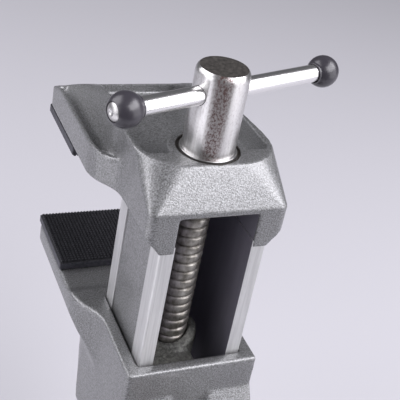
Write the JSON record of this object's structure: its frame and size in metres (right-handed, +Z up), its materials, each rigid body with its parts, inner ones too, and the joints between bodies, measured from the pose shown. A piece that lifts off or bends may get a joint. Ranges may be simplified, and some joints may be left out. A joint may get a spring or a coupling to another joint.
{
  "type": "suction base vise",
  "caption": "Small bench vise with rubber jaw pads and a swivelling, tilting ball joint head on a round lever-locked suction base.",
  "frame": {"origin": "centre of the round base's underside, on the swivel axis, at the table surface", "axes": "+Z up from the table, +X to the right along the jaws' width, +Y from the screw side towards the pads"},
  "size_m": [0.1345, 0.202, 0.253],
  "materials": {
    "painted_casting": "grey hammertone paint on cast aluminium",
    "jaw_rubber": "ribbed matte",
    "black_rubber": "matte",
    "black_plastic": "gloss",
    "ground_steel": "turned",
    "plated_steel": "zinc plated",
    "spring_steel": "black oxide",
    "dark_iron": "greased",
    "bright_nickel": "polished"
  },
  "bodies": {
    "base": {"base_cover": "painted_casting", "suction_cup": "black_rubber"},
    "pull_stem": {"cup_plate": "plated_steel", "pull_stud": "plated_steel"},
    "cam": {"cam_shaft": "plated_steel", "cam_clip": "spring_steel", "cam_lever": "plated_steel", "lever_grip": "black_plastic", "lever_screw": "plated_steel"},
    "turret_body": {"turret": "painted_casting", "clamp_cheek": "painted_casting", "cheek_dowels": "plated_steel", "clamp_bolt": "plated_steel", "clamp_washer": "plated_steel", "swivel_bolt": "plated_steel", "swivel_washer": "plated_steel"},
    "clamp_lever_body": {"clamp_lever": "plated_steel", "clamp_grip": "black_plastic"},
    "head": {"ball_stud": "ground_steel", "stud_nut": "plated_steel", "stud_washer": "plated_steel", "fixed_jaw": "painted_casting", "fixed_jaw_pad": "jaw_rubber", "spindle_nut": "dark_iron", "nut_screw": "plated_steel"},
    "sliding_jaw": {"moving_jaw": "painted_casting", "moving_jaw_pad": "jaw_rubber", "thrust_washer": "plated_steel"},
    "screw": {"spindle": "ground_steel", "spindle_clip": "spring_steel"},
    "bar": {"tommy_bar": "bright_nickel", "bar_knob_left": "black_plastic", "bar_knob_right": "black_plastic"}
  },
  "joints": [
    {"name": "head_swivel", "type": "hinge", "parent": "base", "child": "turret_body", "pos_m": [0, 0, 0], "axis": [0, 0, 1], "continuous": true},
    {"name": "head_tilt", "type": "hinge", "parent": "turret_body", "child": "head", "pos_m": [0, 0, 0.096], "axis": [1, 0, 0], "range_deg": [0, 90]},
    {"name": "jaw_travel", "type": "slide", "parent": "head", "child": "sliding_jaw", "axis": [0, 0, 1], "range_m": [-0.051, 0.006]},
    {"name": "spindle_spin", "type": "hinge", "parent": "sliding_jaw", "child": "screw", "pos_m": [0, 0.0601, 0], "axis": [0, 0, 1], "range_deg": [-4600, 550]},
    {"name": "bar_slide", "type": "slide", "parent": "screw", "child": "bar", "axis": [0.9548, 0.2974, 0], "range_m": [-0.034, 0.022]},
    {"name": "clamp_turn", "type": "hinge", "parent": "turret_body", "child": "clamp_lever_body", "pos_m": [0, 0, 0.07], "axis": [1, 0, 0], "range_deg": [-60, 30]},
    {"name": "cam_turn", "type": "hinge", "parent": "base", "child": "cam", "pos_m": [0, 0, 0.0195], "axis": [1, 0, 0], "range_deg": [0, 60]},
    {"name": "stem_lift", "type": "slide", "parent": "base", "child": "pull_stem", "axis": [0, 0, 1], "range_m": [0, 0.0035]}
  ],
  "couplings": [
    {"joint": "spindle_spin", "follows": "jaw_travel", "rad_per_m": 1570.8},
    {"joint": "cam_turn", "follows": "stem_lift", "rad_per_m": 299.2}
  ]
}
